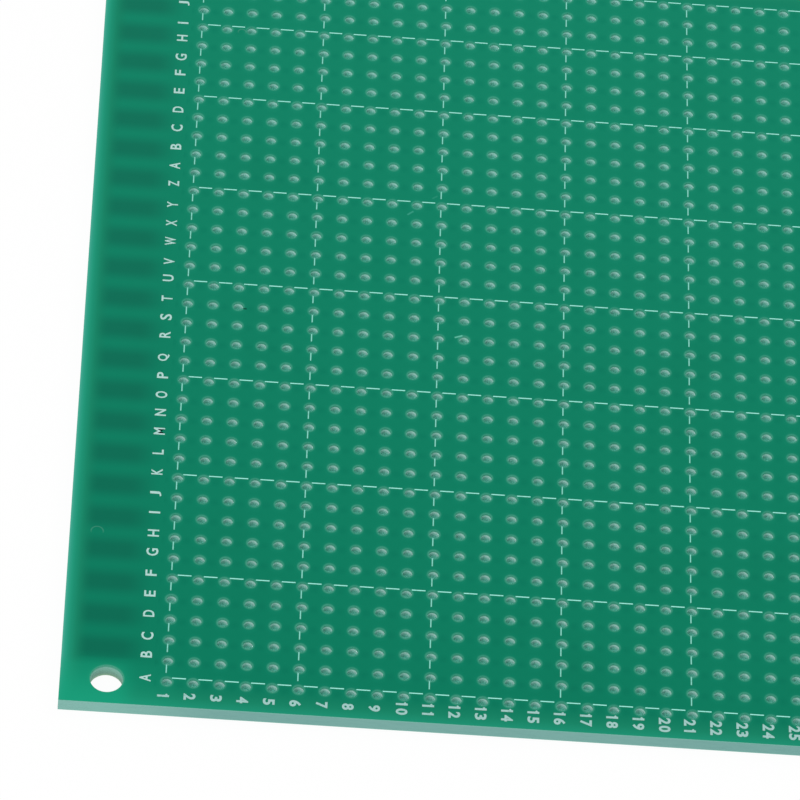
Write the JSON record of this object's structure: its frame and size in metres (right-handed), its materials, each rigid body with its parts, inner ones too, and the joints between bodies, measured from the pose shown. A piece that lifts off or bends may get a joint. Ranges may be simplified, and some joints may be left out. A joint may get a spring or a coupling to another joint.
{
  "type": "bare circuit board",
  "caption": "Drilled prototype circuit board with a grid of holes, tinned pads and edge fingers underneath, corner holes and printed guide lines on top.",
  "frame": {"origin": "under the middle of the board, on the plane of the copper that it rests on", "axes": "+X along the rows of holes, away from the end with the fingers; +Y across the rows, from the first lettered row to the last; +Z towards the printed side"},
  "size_m": [0.09, 0.1, 0.0016],
  "materials": {
    "coated_laminate": "glass-epoxy sheet with a satin green solder mask on both faces and bare pale edges",
    "tinned_copper": "dull bright tin over copper foil",
    "white_ink": "thin matt white screen print"
  },
  "bodies": {
    "root": {"laminate": "coated_laminate", "solder_pads": "tinned_copper", "edge_fingers": "tinned_copper", "row_lines": "white_ink", "column_lines": "white_ink"}
  },
  "joints": []
}
